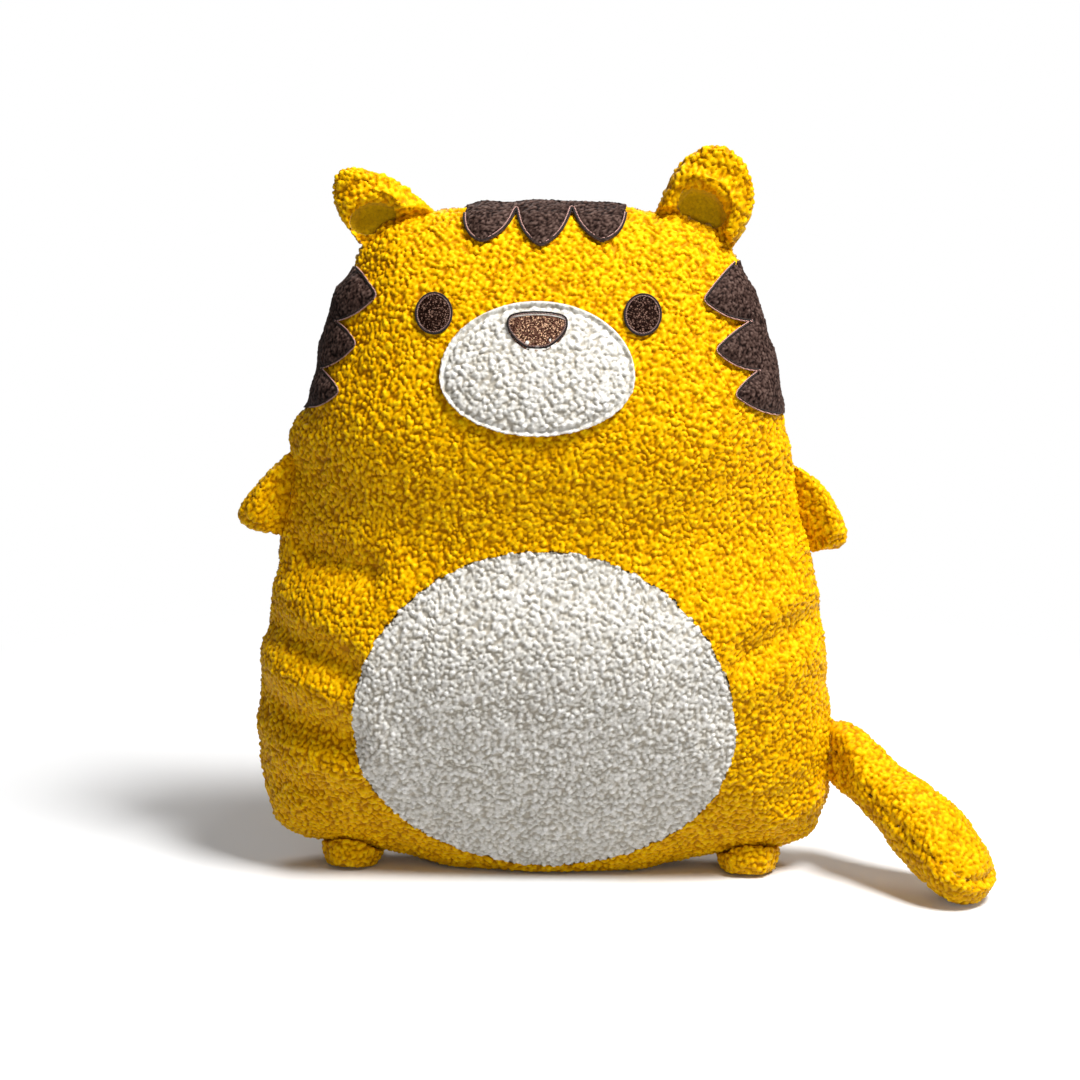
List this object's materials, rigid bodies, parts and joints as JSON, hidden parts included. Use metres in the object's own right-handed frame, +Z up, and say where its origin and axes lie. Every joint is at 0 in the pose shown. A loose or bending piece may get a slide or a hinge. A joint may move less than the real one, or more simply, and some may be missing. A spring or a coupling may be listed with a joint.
{
  "type": "plush animal pillow",
  "caption": "Flat upright plush cat pillow with tiger stripes, sewn-on ears, arms, feet and tail, white muzzle and belly.",
  "frame": {"origin": "on the floor, on the flat underside of the front panel, midway between the feet and under the side seams", "axes": "+Z up, -Y towards the face, +X to the viewer's right, where the tail is"},
  "size_m": [0.4201, 0.1223, 0.3971],
  "materials": {
    "honey_boucle": "matte",
    "white_boucle": "matte",
    "brown_short_pile": "matte",
    "dark_embroidery": "satin",
    "glitter_embroidery": "satin",
    "pale_ear_lining": "matte",
    "fibre_filling": "matte"
  },
  "bodies": {
    "body": {"front_panel": "honey_boucle", "back_panel": "honey_boucle", "belly_panel": "white_boucle", "body_filling": "fibre_filling", "muzzle_patch": "white_boucle", "nose_patch": "glitter_embroidery", "left_eye_patch": "dark_embroidery", "right_eye_patch": "dark_embroidery", "crown_stripes": "brown_short_pile", "left_cheek_stripes": "brown_short_pile", "right_cheek_stripes": "brown_short_pile", "left_foot_front": "honey_boucle", "left_foot_back": "honey_boucle", "left_foot_filling": "fibre_filling", "right_foot_front": "honey_boucle", "right_foot_back": "honey_boucle", "right_foot_filling": "fibre_filling"},
    "left_ear": {"left_ear_rim": "honey_boucle", "left_ear_lining": "pale_ear_lining", "left_ear_back": "honey_boucle"},
    "right_ear": {"right_ear_rim": "honey_boucle", "right_ear_lining": "pale_ear_lining", "right_ear_back": "honey_boucle"},
    "left_arm": {"left_arm_front": "honey_boucle", "left_arm_back": "honey_boucle", "left_arm_filling": "fibre_filling"},
    "right_arm": {"right_arm_front": "honey_boucle", "right_arm_back": "honey_boucle", "right_arm_filling": "fibre_filling"},
    "tail": {"tail_upper": "honey_boucle", "tail_under": "honey_boucle", "tail_filling": "fibre_filling"}
  },
  "joints": [
    {"name": "left_ear_fold", "type": "hinge", "parent": "body", "child": "left_ear", "pos_m": [-0.08367, 0, 0.36346], "axis": [-0.8861, 0, -0.4634], "range_deg": [-35, 35], "stiffness_Nm_per_rad": 0.01},
    {"name": "right_ear_fold", "type": "hinge", "parent": "body", "child": "right_ear", "pos_m": [0.08367, 0, 0.36346], "axis": [-0.8861, 0, 0.4634], "range_deg": [-35, 35], "stiffness_Nm_per_rad": 0.01},
    {"name": "left_arm_flap", "type": "hinge", "parent": "body", "child": "left_arm", "pos_m": [-0.14485, 0, 0.20114], "axis": [-0.2069, 0, -0.9784], "range_deg": [-40, 40], "stiffness_Nm_per_rad": 0.01},
    {"name": "right_arm_flap", "type": "hinge", "parent": "body", "child": "right_arm", "pos_m": [0.14485, 0, 0.20114], "axis": [-0.2069, 0, 0.9784], "range_deg": [-40, 40], "stiffness_Nm_per_rad": 0.01},
    {"name": "tail_swing", "type": "hinge", "parent": "body", "child": "tail", "pos_m": [0.16164, 0, 0.06235], "axis": [0, 0, 1], "range_deg": [-20, 60], "stiffness_Nm_per_rad": 0.01}
  ]
}
